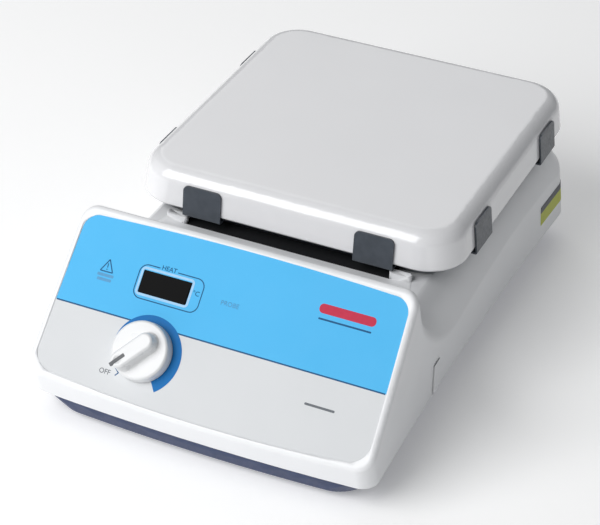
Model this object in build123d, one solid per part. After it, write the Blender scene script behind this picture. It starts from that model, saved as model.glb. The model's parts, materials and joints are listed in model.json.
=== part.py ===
"""Heated magnetic stirrer: a square ceramic top on a sloped-front housing, with a stirring drive inside.

Units are millimetres, +Z is up, the front is towards -Y, and the origin is on the bench, at the
middle of the outer box. Each function makes one piece, or one group of identical pieces.
"""

from build123d import *
import math
import os

# ---------------------------------------------------------------- driving dimensions
PLATE_SIZE = 184.0          # square top, across its skirt
HEIGHT = 93.8               # bench to the top of the plate
PLATE_Y = 54.14             # centre of the top, behind the middle of the stirrer
HOUSING_BOTTOM = 14.5       # lower edge of the white housing
WALL = 3.0                  # moulded wall of the housing
REAR_HALF = 95.0            # half widths of the housing at its lower edge
WAIST_HALF = 91.6
FRONT_HALF = 95.3
REAR_Y = PLATE_Y + 91.9
WAIST_Y = PLATE_Y - 60.0
FRONT_Y = PLATE_Y - 194.7   # at the front corners
FRONT_BOW = 3.5             # how far the middle of the front stands before its corners
BLOCK_TOP = HEIGHT + 6.0    # height at which the leaning walls are laid out a second time
REAR_LEAN = 7.55            # inward lean of the rear wall and rear corners up to BLOCK_TOP
WAIST_LEAN = 1.9            # inward lean of the waist up to BLOCK_TOP
FRONT_FLARE = 3.15          # outward lean of the front corners up to BLOCK_TOP
FRONT_LEAN = 0.31           # outward lean of the front wall, per unit of height
MITRE_R = 12.0              # rounding where the two rear slopes meet
SHOULDER_R = 9.0            # rounding of the shoulders
RIM_R = 3.0                 # rounding around the control panel
PANEL_TILT = 45.67          # control panel from the horizontal
PANEL_ORIGIN = (0, PLATE_Y - 172.46, HEIGHT - 36.72)
DECK_Z = HEIGHT - 28.0      # top of the housing under the plate
DECK_HALF = 76.5
DECK_WALL = 4.5
BACK_TILT = 70.0            # back of the panel wedge from the horizontal
BACK_Y = PLATE_Y - 128.6    # where the wedge's back stands, at height BACK_Z
BACK_Z = HEIGHT - 15.0
REAR_SLOPE = 53.1           # rear shoulder from the horizontal

TRAY_TOP = HOUSING_BOTTOM - 0.9
TRAY_BOTTOM = 4.0
TRAY_FLOOR = 2.5
BOSS_Z = 9.0                # where the tray's bosses meet the housing's posts
STAND = (Align.CENTER, Align.CENTER, Align.MIN)     # shapes that rise from their plane
HANG = (Align.CENTER, Align.CENTER, Align.MAX)      # shapes that sink from their plane

OVERLAY_RECESS = 0.8
OVERLAY_THICK = 0.45
WINDOW_UV = (-35.8, 20.4)
WINDOW_SIZE = (27.0, 11.8)
KNOB_UV = (-35.7, -13.6)
KNOB_R = 15.5
KNOB_RIM_H = 6.0
KNOB_BAR_H = 12.4
KNOB_BAR_W = 9.5
KNOB_LIFT = 0.1             # gap between the knob and the plane of the housing's face
POINTER_ANGLE = 230.0       # pointer at OFF, counter-clockwise from the panel's +u
SHAFT_R = 3.0

PLATE_SKIRT_Z = HEIGHT - 21.2
PLATE_CORNER = 22.0
PLATE_EDGE_R = 9.0
PLATE_WALL = 5.5
SKIRT_FLARE = 2.25          # how much narrower the plate is at its top, per side
PAN_RIM_Z = PLATE_SKIRT_Z - 0.3
PAN_BOTTOM_Z = DECK_Z + 1.1
PAN_SHEET = 1.0
HEATER_Z = PAN_BOTTOM_Z + PAN_SHEET + 15.2
TAB_PITCH = 48.9
TAB_W = 22.0
TAB_TOP = HEIGHT - 6.0

MOTOR_R = 25.0
MOTOR_Z = (14.5, 42.0)
MOTOR_SHAFT_R = 2.5
BRACKET_Z = 42.0
BRACKET_T = 1.5
CARRIER_Z = (48.0, 56.0)
CARRIER_SIZE = (70.0, 17.0)
MAGNET_X = 26.0
MAGNET_R = 6.0
FAN_Z = (8.0, 13.0)
FAN_R = 23.0

FOOT_XY = [(-72, PLATE_Y + 68), (72, PLATE_Y + 68), (-72, PLATE_Y - 165), (72, PLATE_Y - 165)]
POST_XY = [(sx * 81, PLATE_Y + y) for y in (60, -62, -150) for sx in (-1, 1)]
PLATE_SCREW_XY = [(sx * 62, PLATE_Y + sy * 62) for sx in (-1, 1) for sy in (-1, 1)]
BRACKET_XY = [(sx * 42, PLATE_Y + sy * 28) for sx in (-1, 1) for sy in (-1, 1)]
HEATER_LEAD_XY = [(-9, PLATE_Y + 66), (9, PLATE_Y + 66)]
INLET_X, INLET_Z = -50.0, 33.0
INLET_PINS = [(-7.0, -2.0), (7.0, -2.0), (0.0, 2.0)]
JACK_X, JACK_Z = 40.0, 36.0
VENT_X, VENT_Z, VENT_PITCH, VENT_COUNT = -14.0, 33.0, 6.0, 7
VENT_W, VENT_H = 2.4, 13.0
POWER_BOARD = (-25.5, PLATE_Y - 122.0, 14.0)
BOARD_SEAT_Z = POWER_BOARD[2] + 1.6      # where the main board's parts stand
TRANSFORMER = (46.0, PLATE_Y - 118.0, TRAY_BOTTOM + TRAY_FLOOR)


# ---------------------------------------------------------------- planes and small helpers
def panel(u=0.0, v=0.0, lift=0.0):
    """Plane on the control panel: x is +u, y climbs the slope, z points out of the panel."""
    tilt = math.radians(PANEL_TILT)
    base = Plane(origin=PANEL_ORIGIN, x_dir=(1, 0, 0), z_dir=(0, -math.sin(tilt), math.cos(tilt)))
    return Plane(origin=base.from_local_coords((u, v, lift)), x_dir=base.x_dir, z_dir=base.z_dir)


def rear(x, z):
    """Plane on the leaning rear wall at x and height z, z pointing out of the back."""
    slant = REAR_LEAN / (BLOCK_TOP - HOUSING_BOTTOM)
    y = REAR_Y - (z - HOUSING_BOTTOM) * slant
    return Plane(origin=(x, y, z), x_dir=(-1, 0, 0), z_dir=(0, 1, slant))


def rounded_slab(width, depth, height, radius, z=0.0, y=PLATE_Y):
    """Upright slab with rounded corners, its underside at z, centred on x=0 and y."""
    return Pos(0, y, z) * extrude(RectangleRounded(width, depth, radius), amount=height)


def drum(radius, z0, z1, x=0.0, y=0.0):
    """Upright cylinder from z0 to z1."""
    return Pos(x, y, z0) * Cylinder(radius, z1 - z0, align=STAND)


def ring(outer, inner, z0, z1, x=0.0, y=0.0):
    """Upright tube from z0 to z1."""
    return drum(outer, z0, z1, x, y) - drum(inner, z0 - 1, z1 + 1, x, y)


def group(pieces):
    """Several separate solids in one node."""
    return Compound(children=[s for p in pieces for s in p.solids()])


def nearest_edges(shape, point):
    """The edge whose middle lies nearest to a point, and its mirror image across x=0."""
    found = []
    for side in (1, -1) if point[0] else (1,):
        target = Vector(point[0] * side, point[1], point[2])
        found.append(min(shape.edges(), key=lambda e: (e @ 0.5 - target).length))
    return found


# ---------------------------------------------------------------- housing
def footprint(z, halves, rear_y, front_y, radii):
    """Plan outline with waisted sides and a bowed front; halves are rear, waist and front."""
    rear_half, waist_half, front_half = halves
    right = ThreePointArc((rear_half, rear_y), (waist_half, WAIST_Y), (front_half, front_y))
    front = ThreePointArc(right @ 1, (0, front_y - FRONT_BOW), (-front_half, front_y))
    left = ThreePointArc(front @ 1, (-waist_half, WAIST_Y), (-rear_half, rear_y))
    face = make_face(Curve() + [right, front, left, Line(left @ 1, right @ 0)])
    face = fillet(face.vertices().group_by(Axis.Y)[0], radii[1])
    face = fillet(face.vertices().group_by(Axis.Y)[-1], radii[0])
    return Pos(0, 0, z) * face


def wall_block(inset=0.0):
    """The housing's leaning outer walls, carried up past the plate as one block."""
    rise = BLOCK_TOP - HOUSING_BOTTOM
    radii = (12 - inset, 9 - inset)
    low_halves = (REAR_HALF - inset, WAIST_HALF - inset, FRONT_HALF - inset)
    high_halves = (REAR_HALF - REAR_LEAN - inset, WAIST_HALF - WAIST_LEAN - inset,
                   FRONT_HALF + FRONT_FLARE - inset)
    low = footprint(HOUSING_BOTTOM, low_halves, REAR_Y - inset, FRONT_Y + inset, radii)
    high = footprint(BLOCK_TOP, high_halves, REAR_Y - REAR_LEAN - inset,
                     FRONT_Y - FRONT_LEAN * rise + inset, radii)
    return loft([low, high], ruled=True)


def saddle_section(x, z, radius, rise, inset):
    """Side view, in the plane at x, of the space above the deck and behind the panel wedge."""
    top_z, rear_y = HEIGHT + 20.0, REAR_Y + 30.0
    slope = math.tan(math.radians(BACK_TILT))
    foot_y = BACK_Y - inset + (BACK_Z - z) / slope
    top_y = BACK_Y - inset - (top_z - BACK_Z) / slope
    outline = Polyline((rear_y, z + rise), (foot_y, z), (top_y, top_z), (rear_y, top_z), close=True)
    face = Plane(origin=(x, 0, 0), x_dir=(0, 1, 0), z_dir=(1, 0, 0)) * make_face(outline)
    return fillet(face.vertices().sort_by_distance((x, foot_y, z))[0], radius)


def saddle(inset=0.0, deck_drop=0.0):
    """All the space above the deck and its rounded shoulders, sweeping up into the wedge's back."""
    deck_z = DECK_Z - deck_drop
    half = DECK_HALF - inset / 2
    # outward step, drop, foot radius and rise towards the rear, from the deck's edge to past the wall
    steps = [(0, 0, 16, 0), (8, 9.5, 31, 5), (14.5, 27, 52, 9), (27.5, 67, 70, 16)]
    sections = [saddle_section(half + x, deck_z - drop, r + inset, rise, inset)
                for x, drop, r, rise in steps]
    side = loft(sections)
    middle = extrude(sections[0], amount=-2 * half)
    edge_y, run = PLATE_Y + half, 40.0
    fall = run * math.tan(math.radians(REAR_SLOPE))
    slope = Polyline((edge_y, deck_z), (edge_y + run, deck_z - fall), (edge_y + run, deck_z + run),
                     (edge_y, deck_z + run), close=True)
    rear_cut = extrude(Plane(origin=(-120, 0, 0), x_dir=(0, 1, 0), z_dir=(1, 0, 0)) * make_face(slope),
                       amount=240)
    return middle + side + mirror(side, about=Plane.YZ) + rear_cut


def above_panel(lift=0.0):
    """Everything in front of the control panel's plane."""
    return panel(lift=lift) * Box(400, 400, 200, align=STAND)


def outer_form():
    """Solid outer shape of the housing with its rounded edges."""
    form = wall_block() - above_panel() - saddle()
    form = fillet(nearest_edges(form, (83.2, PLATE_Y + 80.2, 60.9)), MITRE_R)
    shoulder = nearest_edges(form, (92.9, PLATE_Y - 131.0, 84.0))
    shoulder += nearest_edges(form, (0, PLATE_Y + 88.8, 49.4))
    form = fillet(shoulder, SHOULDER_R)
    return fillet(nearest_edges(form, (94.6, PLATE_Y - 168.2, 61.4)), RIM_R)


def overlay_outline(grow=0.0):
    """Outline of the printed panel film: wider at its foot, with arched ends."""
    top = ThreePointArc((-89.2 - grow, 46.7 + grow), (0, 49 + grow), (89.2 + grow, 46.7 + grow))
    foot = ThreePointArc((92 + grow, -35.2 - grow), (0, -40.1 - grow), (-92 - grow, -35.2 - grow))
    right = ThreePointArc(top @ 1, (91 + grow, 0), foot @ 0)
    left = ThreePointArc(foot @ 1, (-91 - grow, 0), top @ 0)
    face = make_face(Curve() + [top, right, foot, left])
    face = fillet(face.vertices().group_by(Axis.Y)[-1], 8.5 + grow)
    return fillet(face.vertices().group_by(Axis.Y)[0], 11 + grow)


def vent_slots():
    """Row of upright cooling slots through the rear wall."""
    slot = Box(VENT_W, VENT_H, 16)
    return [rear(VENT_X + VENT_PITCH * i, VENT_Z) * slot for i in range(VENT_COUNT)]


def housing():
    """White moulded housing: a shell open below, with posts, bosses and openings."""
    inner = wall_block(WALL) - above_panel(-WALL) - saddle(WALL, DECK_WALL)
    shell = outer_form() - inner
    # face of the control panel
    shell -= panel(lift=-OVERLAY_RECESS) * extrude(overlay_outline(0.15), amount=3)
    shell -= panel(*WINDOW_UV, -6) * Box(WINDOW_SIZE[0] + 0.4, WINDOW_SIZE[1] + 0.4, 14)
    shell -= panel(*KNOB_UV, -8) * Cylinder(3.6, 20)
    # shallow step under the front of the plate, and two locating ribs before it
    shell -= Pos(0, PLATE_Y - 84, DECK_Z) * Box(120, 20, 4)
    for x in (-64, 64):
        rib = Pos(x, PLATE_Y - 91, DECK_Z - 1) * Box(12, 4, 4.2, align=STAND)
        shell += fillet(rib.edges().filter_by(Axis.Z), 1.5)
    # opening over the magnets, and holes for the plate's screws and the heater's leads
    shell -= drum(45, DECK_Z - 8, DECK_Z + 2, 0, PLATE_Y)
    for x, y in PLATE_SCREW_XY:
        shell -= drum(2.7, DECK_Z - 8, DECK_Z + 2, x, y)
    for x, y in HEATER_LEAD_XY:
        shell -= drum(3.0, DECK_Z - 8, DECK_Z + 2, x, y)
    # motor posts hang from the deck; screw posts stand on the tray's bosses
    for x, y in BRACKET_XY:
        shell += ring(4.5, 1.3, BRACKET_Z + BRACKET_T, DECK_Z - DECK_WALL + 0.5, x, y)
    for x, y in POST_XY:
        side = 1 if x > 0 else -1
        post = drum(4, BOSS_Z, 38, x, y) + Pos(x + side * 6, y, 28) * Box(12, 3, 20)
        shell += (post & wall_block(1.0)) + drum(4, BOSS_Z, HOUSING_BOTTOM + 1, x, y)
        shell -= drum(1.5, BOSS_Z - 1, 30, x, y)
    # openings in the rear wall
    shell -= rear(INLET_X, INLET_Z) * Box(27.4, 20.0, 20)
    shell -= rear(JACK_X, JACK_Z) * Cylinder(4.1, 20)
    for slot in vent_slots():
        shell -= slot
    # snap tabs that lap over the tray
    skin = wall_block(-0.6) - wall_block(0.3)
    for side in (-1, 1):
        shell += skin & (Pos(side * 94, PLATE_Y - 108, 24.5) * Box(12, 8, 18))
    return shell


# ---------------------------------------------------------------- base
def base_tray():
    """Navy moulded tray that closes the housing from below."""
    slope = TRAY_TOP - TRAY_BOTTOM

    def layer(z, inset, front_inset, corner):
        halves = (REAR_HALF - inset, WAIST_HALF - inset, FRONT_HALF - inset)
        return footprint(z, halves, REAR_Y - inset, FRONT_Y + front_inset, (corner, corner))

    outer = loft([layer(TRAY_BOTTOM, 7.5, 4.0, 20), layer(TRAY_TOP, 3.0, 0.9, 13)], ruled=True)
    outer = fillet(outer.faces().sort_by(Axis.Z)[0].edges(), 2.0)
    inner = loft([layer(TRAY_BOTTOM + TRAY_FLOOR, 9.6, 6.0, 18), layer(TRAY_TOP + 0.01, 5.6, 3.5, 10.5)],
                 ruled=True)
    tray = outer - inner
    lip = [layer(TRAY_TOP - 1, inset, inset, 10) for inset in (WALL + 0.5, WALL + 2.3)]
    tray += extrude(lip[0] - lip[1], amount=slope / 2.4)
    for x, y in POST_XY:
        tray += drum(6, TRAY_BOTTOM + 1, BOSS_Z, x, y)
        tray -= drum(5.2, BOSS_Z, TRAY_TOP + 8, x, y)
        tray -= drum(1.9, 0, BOSS_Z + 1, x, y)
        tray -= drum(3.6, TRAY_BOTTOM - 1, TRAY_BOTTOM + 2.4, x, y)
    for x, y in FOOT_XY:
        tray -= drum(4.0, 0, 10, x, y)
    for row in range(6):
        tray -= Pos(0, PLATE_Y - 25 + 10 * row, TRAY_BOTTOM) * Box(60, 3, 12)
    return tray


def feet():
    """Four rubber feet, each with a stem through the tray and a barbed head."""
    pieces = []
    for x, y in FOOT_XY:
        pad = drum(9, 0, TRAY_BOTTOM, x, y)
        pad = chamfer(pad.edges().group_by(Axis.Z)[0], 0.8)
        stem = drum(3.95, TRAY_BOTTOM, TRAY_BOTTOM + TRAY_FLOOR + 0.1, x, y)
        head = Pos(x, y, TRAY_BOTTOM + TRAY_FLOOR + 0.1) * Cone(
            5.0, 3.2, 1.8, align=STAND)
        pieces.append(pad + stem + head)
    return group(pieces)


def cross_screw(radius, length, head_r, head_h):
    """Pan-head screw standing on its head: shank upwards from z=0, head below."""
    head = fillet(drum(head_r, -head_h, 0).edges().group_by(Axis.Z)[0], head_h * 0.45)
    slots = Box(head_r, 0.7, 1.6) + Box(0.7, head_r, 1.6)
    return head + drum(radius, 0, length) - Pos(0, 0, -head_h) * slots


def base_screws():
    """Six screws up through the tray into the housing's posts."""
    screw = cross_screw(1.45, 18, 3.3, 2.0)
    return group([Pos(x, y, TRAY_BOTTOM + 2.4) * screw for x, y in POST_XY])


# ---------------------------------------------------------------- top plate and its pan
def plate_form(shrink, z0, z1, corner):
    """Square form that narrows upwards with the plate's skirt."""
    rate = SKIRT_FLARE / (HEIGHT - PLATE_SKIRT_Z)
    low = PLATE_SIZE - 2 * shrink - 2 * rate * (z0 - PLATE_SKIRT_Z)
    high = PLATE_SIZE - 2 * shrink - 2 * rate * (z1 - PLATE_SKIRT_Z)
    faces = [Pos(0, PLATE_Y, z0) * RectangleRounded(low, low, corner),
             Pos(0, PLATE_Y, z1) * RectangleRounded(high, high, corner)]
    return loft(faces, ruled=True)


def top_plate():
    """Glass-ceramic top: a flat square face with a deep rounded skirt, hollow below."""
    plate = plate_form(0, PLATE_SKIRT_Z, HEIGHT, PLATE_CORNER)
    plate = fillet(plate.faces().sort_by(Axis.Z)[-1].edges(), PLATE_EDGE_R)
    plate = fillet(plate.faces().sort_by(Axis.Z)[0].edges(), 2.0)
    return plate - plate_form(PLATE_WALL, PLATE_SKIRT_Z - 1, HEIGHT - PLATE_WALL, 16.5)


def pan_tab():
    """One folded tab on the +X side: out under the skirt and up its face."""
    rate = SKIRT_FLARE / (HEIGHT - PLATE_SKIRT_Z)
    face_low = PLATE_SIZE / 2 + 0.25 + rate * 2.2
    face_high = PLATE_SIZE / 2 + 0.25 - rate * (TAB_TOP - PLATE_SKIRT_Z)
    z_in, z_out = PLATE_SKIRT_Z - 1.6, PLATE_SKIRT_Z - 2.6
    outline = Polyline((86.5, z_out), (face_low + PAN_SHEET, z_out), (face_high + PAN_SHEET, TAB_TOP),
                       (face_high, TAB_TOP), (face_low, z_in), (86.5, z_in), close=True)
    tab = extrude(Plane.XZ * make_face(outline), amount=TAB_W / 2, both=True)
    upper = [e for e in tab.edges().filter_by(Axis.X) if (e @ 0.5).Z > TAB_TOP - 0.1]
    tab = fillet(upper, 3.0)
    fold = [e for e in tab.edges().filter_by(Axis.Y) if (e @ 0.5).X > 90 and (e @ 0.5).Z < z_out + 0.1]
    return fillet(fold, 1.2)


def plate_pan():
    """Dark steel pan that closes the plate from below, with eight tabs folded up its skirt."""
    def dish(rim, foot, z0, z1, corner):
        faces = [Pos(0, PLATE_Y, z0) * RectangleRounded(2 * foot, 2 * foot, corner),
                 Pos(0, PLATE_Y, z1) * RectangleRounded(2 * rim, 2 * rim, corner)]
        return loft(faces, ruled=True)

    pan = dish(89.0, 84.5, PAN_BOTTOM_Z, PAN_RIM_Z, 19)
    pan -= dish(88.4, 83.4, PAN_BOTTOM_Z + PAN_SHEET, PAN_RIM_Z + 0.1, 18)
    tab = pan_tab()
    for turn in range(4):
        for along in (-TAB_PITCH, TAB_PITCH):
            pan += Pos(0, PLATE_Y, 0) * Rot(0, 0, 90 * turn) * Pos(0, along, 0) * tab
    for x, y in PLATE_SCREW_XY:
        pan -= drum(2.7, PAN_BOTTOM_Z - 1, PAN_BOTTOM_Z + 3, x, y)
    for x, y in HEATER_LEAD_XY:
        pan -= drum(3.0, PAN_BOTTOM_Z - 1, PAN_BOTTOM_Z + 3, x, y)
    return pan


def insulation_pad():
    """Ceramic-fibre pad between the pan and the heater."""
    z0 = PAN_BOTTOM_Z + PAN_SHEET + 0.1
    pad = rounded_slab(158, 158, 15, 14, z0)
    for x, y in PLATE_SCREW_XY:
        pad -= drum(6.5, z0 - 1, z0 + 9, x, y)
    for x, y in HEATER_LEAD_XY:
        pad -= drum(2.6, z0 - 1, z0 + 17, x, y)
    return pad


def heater_element():
    """Flat serpentine heater held under the ceramic by the pad."""
    pitch, inner_x, outer_x = 18.0, -11.0, -62.0
    left = [(inner_x, 66)]
    for row in range(7):
        end_x = inner_x if row % 2 else outer_x
        left += [(end_x, 66 - pitch * row), (end_x, 66 - pitch * (row + 1))]
    right = [(-x, y) for x, y in reversed(left)]
    track = trace(FilletPolyline(*left, *right, radius=7.0), 9.0)
    return Pos(0, PLATE_Y, HEATER_Z) * extrude(track, amount=3.0)


def plate_sensor():
    """Temperature sensor bead pressed up against the ceramic, on its own lead stub."""
    return drum(4, HEATER_Z, HEIGHT - PLATE_WALL - 0.2, 0, PLATE_Y + 2)


def plate_washers():
    """Ceramic washers that keep the hot pan off the housing."""
    return group([ring(7, 2.7, DECK_Z, PAN_BOTTOM_Z, x, y) for x, y in PLATE_SCREW_XY])


def plate_screws():
    """Four screws up through the deck into the pan's nuts."""
    z0 = DECK_Z - DECK_WALL
    screw = cross_screw(2.4, PAN_BOTTOM_Z + PAN_SHEET - z0 + 5.5, 4.6, 2.6)
    return group([Pos(x, y, z0) * screw for x, y in PLATE_SCREW_XY])


def plate_nuts():
    """Nuts on the pan that take the plate's screws."""
    z0 = PAN_BOTTOM_Z + PAN_SHEET
    nut = extrude(RegularPolygon(4.6, 6), amount=4.0)
    return group([Pos(x, y, z0) * nut - drum(2.42, z0 - 1, z0 + 6, x, y) for x, y in PLATE_SCREW_XY])


# ---------------------------------------------------------------- control panel
def panel_overlay():
    """Printed film on the sloped face, cut out for the display and the knob's nut."""
    film = panel(lift=-OVERLAY_RECESS) * extrude(overlay_outline(), amount=OVERLAY_THICK)
    film -= panel(*WINDOW_UV) * Box(WINDOW_SIZE[0] + 0.2, WINDOW_SIZE[1] + 0.2, 6)
    return film - panel(*KNOB_UV) * Cylinder(7, 6)


def display_window():
    """Dark filter that fills the display's opening."""
    block = Box(*WINDOW_SIZE, 3.2, align=HANG)
    block = fillet(block.edges().filter_by(Axis.Z), 0.8)
    return panel(*WINDOW_UV, -0.45) * block


def display_module():
    """Three-digit display block soldered to the control board."""
    return panel(*WINDOW_UV, -4.0) * Box(30, 15, 9.9, align=HANG)


def control_board():
    """Circuit board parallel to the panel, carrying the display and the potentiometer."""
    board = panel(-5, 3, -14) * Box(130, 58, 1.6, align=HANG)
    for u in (-66, 56):
        for v in (-22, 28):
            board -= panel(u, v, -14) * Cylinder(1.6, 8)
    return board


def board_pillars():
    """Four pillars that hold the control board behind the panel."""
    pieces = []
    for u in (-66, 56):
        for v in (-22, 28):
            pillar = Cylinder(3, 14 - WALL, align=STAND)
            pin = Cylinder(1.55, 3.0, align=STAND)
            pieces.append(panel(u, v, -14) * pillar + panel(u, v, -17) * pin)
    return group(pieces)


def controller_chip():
    """Microcontroller and its crystal on the back of the control board."""
    chip = panel(20, 5, -15.6) * Box(12, 12, 1.8, align=HANG)
    can = panel(36, 5, -15.6) * Box(10, 4, 3.5, align=HANG)
    return group([chip, can])


def potentiometer():
    """Body and threaded bushing of the temperature control."""
    body = Box(17, 17, 9.8, align=HANG)
    bushing = Cylinder(3.5, 5.2, align=STAND)
    whole = panel(*KNOB_UV, -WALL - 0.2) * (body + bushing)
    return whole - panel(*KNOB_UV, 0) * Cylinder(SHAFT_R + 0.05, 20)


def potentiometer_nut():
    """Flat nut and washer that clamp the potentiometer to the housing's face."""
    washer = Cylinder(6.2, 0.5, align=STAND)
    nut = Pos(0, 0, 0.5) * extrude(RegularPolygon(5.6, 6), amount=2.0)
    return panel(*KNOB_UV, -OVERLAY_RECESS) * (washer + nut - Cylinder(3.52, 20))


def potentiometer_shaft():
    """Flatted shaft that turns with the knob."""
    shaft = Cylinder(SHAFT_R, 18, align=STAND)
    flat = Pos(SHAFT_R - 0.5 + 5, 0, 12.0 + 5) * Box(10, 10, 10)
    return panel(*KNOB_UV, -WALL - 4.5) * Rot(0, 0, POINTER_ANGLE) * (shaft - flat)


def knob_frame():
    """Plane at the knob's foot with x along its bar, towards the pointer."""
    return panel(*KNOB_UV, KNOB_LIFT) * Rot(0, 0, POINTER_ANGLE)


def control_knob():
    """White knob: a round skirt with a tapered grip bar that runs out to the pointer."""
    disc = Cone(KNOB_R, KNOB_R - 0.5, KNOB_RIM_H, align=STAND)
    disc = fillet(disc.edges().group_by(Axis.Z)[-1], 1.4)
    back, front = -11.6, KNOB_R - 0.35
    low = Pos((back + front) / 2, 0, 2) * SlotOverall(front - back, KNOB_BAR_W + 2.6)
    high = SlotOverall(front - back - 2.4, KNOB_BAR_W - 1.0)
    high = Pos((back + front) / 2 + 0.4, 0, KNOB_BAR_H) * high
    grip = loft([low, high], ruled=True)
    grip = fillet(grip.faces().sort_by(Axis.Z)[-1].edges(), 1.6)
    knob = disc + grip
    foot = [e for e in knob.edges() if abs((e @ 0.5).Z - KNOB_RIM_H) < 0.3 and (e @ 0.5).X < KNOB_R - 4
            and math.hypot((e @ 0.5).X, (e @ 0.5).Y) < KNOB_R - 2]
    knob = fillet(foot, 1.0)
    knob -= Cylinder(12.0, 3.4, align=STAND)
    bore = Cylinder(SHAFT_R + 0.03, 10.4, align=STAND)
    knob -= bore - Pos(SHAFT_R - 0.47 + 5, 0, 5 + 4.45) * Box(10, 10, 10)
    knob -= Pos(KNOB_R - 4.9, 0, KNOB_BAR_H) * Box(9.0, 1.9, 2.0)
    return knob_frame() * knob


def knob_pointer():
    """Dark line inlaid in the outer end of the grip."""
    line = Pos(KNOB_R - 4.9, 0, KNOB_BAR_H - 0.95) * Box(8.9, 1.8, 1.05, align=STAND)
    return knob_frame() * line


# ---------------------------------------------------------------- electrics
def power_inlet():
    """Appliance inlet for a detachable mains lead, clipped into the rear wall."""
    flange = Box(31, 24, 1.6, align=STAND)
    flange = fillet(flange.edges().filter_by(Axis.Z), 2)
    body = Box(27.0, 19.6, 21, align=HANG)
    outline = Polyline((-11.8, -7.6), (11.8, -7.6), (11.8, 3.6), (7.8, 7.6), (-7.8, 7.6), (-11.8, 3.6),
                       close=True)
    cavity = Pos(0, 0, -15.4) * extrude(make_face(outline), amount=20)
    shell = rear(INLET_X, INLET_Z) * (flange + body - cavity)
    for x, y in INLET_PINS:
        shell -= rear(INLET_X, INLET_Z) * Pos(x, y, -18) * Box(2.0, 4.0, 12)
    return shell


def inlet_pins():
    """Line, neutral and earth pins of the inlet, with their solder tails."""
    pin = Box(1.98, 3.98, 26, align=STAND)
    pin = fillet(pin.edges().group_by(Axis.Z)[-1], 0.6)
    return group([rear(INLET_X, INLET_Z) * Pos(x, y, -28) * pin for x, y in INLET_PINS])


def probe_jack():
    """Socket in the rear wall for an external temperature probe."""
    barrel = Cylinder(4.0, 18, align=HANG)
    flange = Cylinder(5.5, 1.2, align=STAND)
    bore = Pos(0, 0, -14) * Cylinder(1.8, 20, align=STAND)
    return rear(JACK_X, JACK_Z) * (barrel + flange - bore)


def probe_jack_nut():
    """Nut that holds the probe socket from inside."""
    nut = extrude(RegularPolygon(6.5, 6), amount=-2.5)
    return rear(JACK_X, JACK_Z) * Pos(0, 0, -WALL - 0.1) * (nut - Cylinder(4.02, 20))


def power_board():
    """Main circuit board on the tray: mains side, triac drive and motor supply."""
    x, y, z = POWER_BOARD
    board = Pos(x, y, z) * Box(100, 52, 1.6, align=STAND)
    for sx in (-44, 44):
        for sy in (-20, 20):
            board -= drum(1.6, z - 1, z + 3, x + sx, y + sy)
    return board


def power_board_pillars():
    """Four snap pillars under the main board."""
    x, y, z = POWER_BOARD
    floor = TRAY_BOTTOM + TRAY_FLOOR
    return group([drum(3, floor, z, x + sx, y + sy) + drum(1.55, z, z + 3, x + sx, y + sy)
                  for sx in (-44, 44) for sy in (-20, 20)])


def triac():
    """Power switch for the heater, bolted to its heat sink."""
    x, y, _ = POWER_BOARD
    return Pos(x + 16, y + 2.4, BOARD_SEAT_Z) * Box(10, 4.4, 16, align=STAND)


def heat_sink():
    """Finned aluminium heat sink beside the triac."""
    x, y, _ = POWER_BOARD
    base = Box(44, 3, 24, align=STAND)
    for i in range(7):
        base += Pos(-21 + 7 * i, 6.5, 0) * Box(1.6, 11, 24, align=STAND)
    return Pos(x + 16, y + 6.1, BOARD_SEAT_Z) * base


def capacitors():
    """Two supply capacitors on the main board."""
    x, y, _ = POWER_BOARD
    can = fillet(drum(6.3, 0, 20).edges().group_by(Axis.Z)[-1], 1.0)
    return group([Pos(x - 18 + dx, y - 14, BOARD_SEAT_Z) * can for dx in (0, 15)])


def mains_fuse():
    """Fuse in its two clips on the main board."""
    x, y, _ = POWER_BOARD
    tube = Pos(x - 34, y + 8, BOARD_SEAT_Z + 4.2) * Rot(90, 0, 0) * Cylinder(2.6, 20)
    clips = [Pos(x - 34, y + 8 + dy, BOARD_SEAT_Z) * Box(6.4, 3.4, 5.2, align=STAND)
             for dy in (-8, 8)]
    return tube + clips[0] + clips[1]


def transformer_core():
    """Laminated core of the supply transformer."""
    x, y, z = TRANSFORMER
    core = Pos(x, y, z) * Box(42, 18, 35, align=STAND)
    for dx in (-10.5, 10.5):
        core -= Pos(x + dx, y, z + 17.5) * Box(7, 30, 21)
    return core


def transformer_coil():
    """Windings and bobbin around the middle limb of the core."""
    x, y, z = TRANSFORMER
    coil = Pos(x, y, z + 17.5) * Box(27.6, 34, 20.6)
    coil = fillet(coil.edges().filter_by(Axis.Z), 4)
    return coil - Pos(x, y, z + 17.5) * Box(14.2, 18.4, 40) - transformer_gap()


def transformer_gap():
    """Room that the core's yokes and outer limbs take from the coil."""
    x, y, z = TRANSFORMER
    return group([Pos(x + dx, y, z + 17.5) * Box(7.2, 18.4, 40) for dx in (-17.6, 17.6)])


def transformer_feet():
    """Two angle feet that hold the transformer to the tray."""
    x, y, z = TRANSFORMER
    foot = Box(4, 18, 6, align=STAND) + Pos(3, 0, 0) * Box(
        8, 18, 1.5, align=STAND)
    return group([Pos(x + 23, y, z) * foot, Pos(x - 23, y, z) * Rot(0, 0, 180) * foot])


# ---------------------------------------------------------------- stirring drive
def motor_can():
    """Steel can of the stirring motor, open in the middle for the shaft and bearings."""
    z0, z1 = MOTOR_Z
    can = drum(MOTOR_R, z0, z1, 0, PLATE_Y)
    can = fillet(can.edges().group_by(Axis.Z)[0], 3)
    return can - drum(6.02, z0 - 1, z1 + 1, 0, PLATE_Y)


def motor_bearings():
    """Upper and lower shaft bearings of the motor."""
    z0, z1 = MOTOR_Z
    return group([ring(6.0, MOTOR_SHAFT_R + 0.04, z, z + 5, 0, PLATE_Y) for z in (z0, z1 - 5)])


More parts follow.
